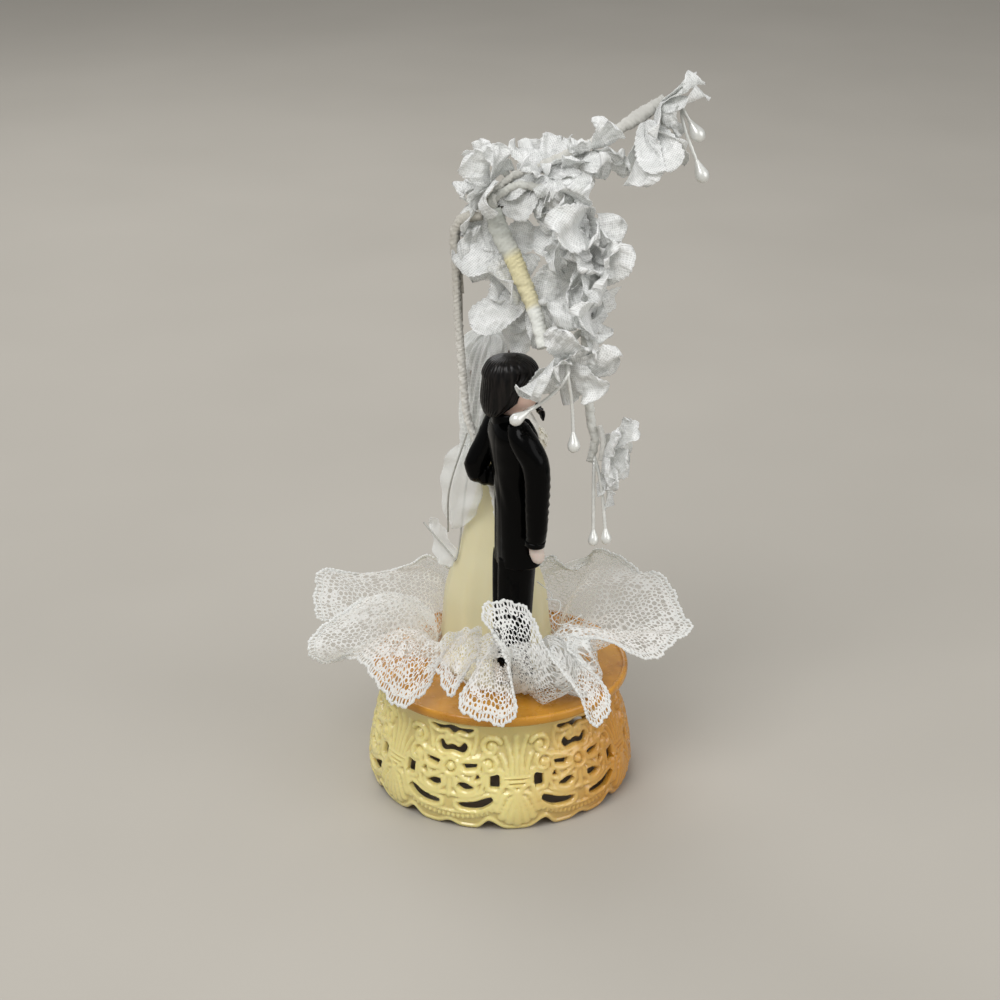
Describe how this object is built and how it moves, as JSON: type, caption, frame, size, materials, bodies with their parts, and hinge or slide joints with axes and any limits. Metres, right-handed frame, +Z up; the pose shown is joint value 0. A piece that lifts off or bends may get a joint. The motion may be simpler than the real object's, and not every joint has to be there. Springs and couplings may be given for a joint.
{
  "type": "wedding cake topper",
  "caption": "Free-standing wedding cake topper: a bride and groom on a pierced base with a lace ruffle, under an arch of taped wire stems with fabric blossoms.",
  "frame": {"origin": "centre of the topper's bounding box at the surface it stands on", "axes": "+Z up, the couple looks along -Y, the groom stands at -X and the bride at +X"},
  "size_m": [0.0902, 0.1118, 0.2075],
  "materials": {
    "base_plastic": "satin, yellowed ivory",
    "amber_plastic": "translucent amber",
    "ivory_plastic": "satin",
    "black_plastic": "glossy",
    "shirt_plastic": "painted satin",
    "skin_plastic": "painted satin",
    "dark_hair": "painted gloss",
    "brown_hair": "painted gloss",
    "gown_plastic": "satin cream",
    "veil_fabric": "sheer",
    "bouquet_plastic": "satin",
    "lace": "openwork",
    "thread": "matt",
    "stem_tape": "matt",
    "petal_fabric": "satin weave",
    "stamen_pearl": "pearled",
    "leaf_fabric": "sheer",
    "rib_wire": "dull"
  },
  "bodies": {
    "root": {"filigree_base": "base_plastic", "top_plate": "amber_plastic", "figure_stand": "ivory_plastic", "groom_right_shoe": "black_plastic", "groom_left_shoe": "black_plastic", "groom_trousers": "black_plastic", "groom_jacket": "black_plastic", "groom_shirt_front": "shirt_plastic", "groom_bow_tie": "black_plastic", "groom_head": "skin_plastic", "groom_hair": "dark_hair", "groom_right_hand": "skin_plastic", "groom_left_hand": "skin_plastic", "bride_skirt": "gown_plastic", "bride_bodice": "gown_plastic", "bride_right_hand": "skin_plastic", "bride_left_hand": "skin_plastic", "bride_head": "skin_plastic", "bride_hair": "brown_hair", "bride_veil": "veil_fabric", "bride_bouquet": "bouquet_plastic", "lace_ruffle": "lace", "gathering_thread": "thread", "rear_stem": "stem_tape", "spray_bundle": "stem_tape", "front_stem": "stem_tape", "top_stem": "stem_tape", "inner_branch": "stem_tape", "lower_branch": "stem_tape", "rear_crown_blossom": "petal_fabric", "front_crown_blossom": "petal_fabric", "hanging_top_blossom": "petal_fabric", "bell_blossom": "petal_fabric", "tip_blossom": "petal_fabric", "upper_side_blossom": "petal_fabric", "middle_side_blossom": "petal_fabric", "ribbed_side_blossom": "petal_fabric", "lower_side_blossom": "petal_fabric", "upper_inner_blossom": "petal_fabric", "lower_inner_blossom": "petal_fabric", "front_face_blossom": "petal_fabric", "hanging_low_blossom": "petal_fabric", "tip_stamens": "stamen_pearl", "face_stamens": "stamen_pearl", "low_stamens": "stamen_pearl", "upper_leaf": "leaf_fabric", "upper_leaf_wire": "rib_wire", "lower_leaf": "leaf_fabric", "lower_leaf_wire": "rib_wire"}
  },
  "joints": []
}
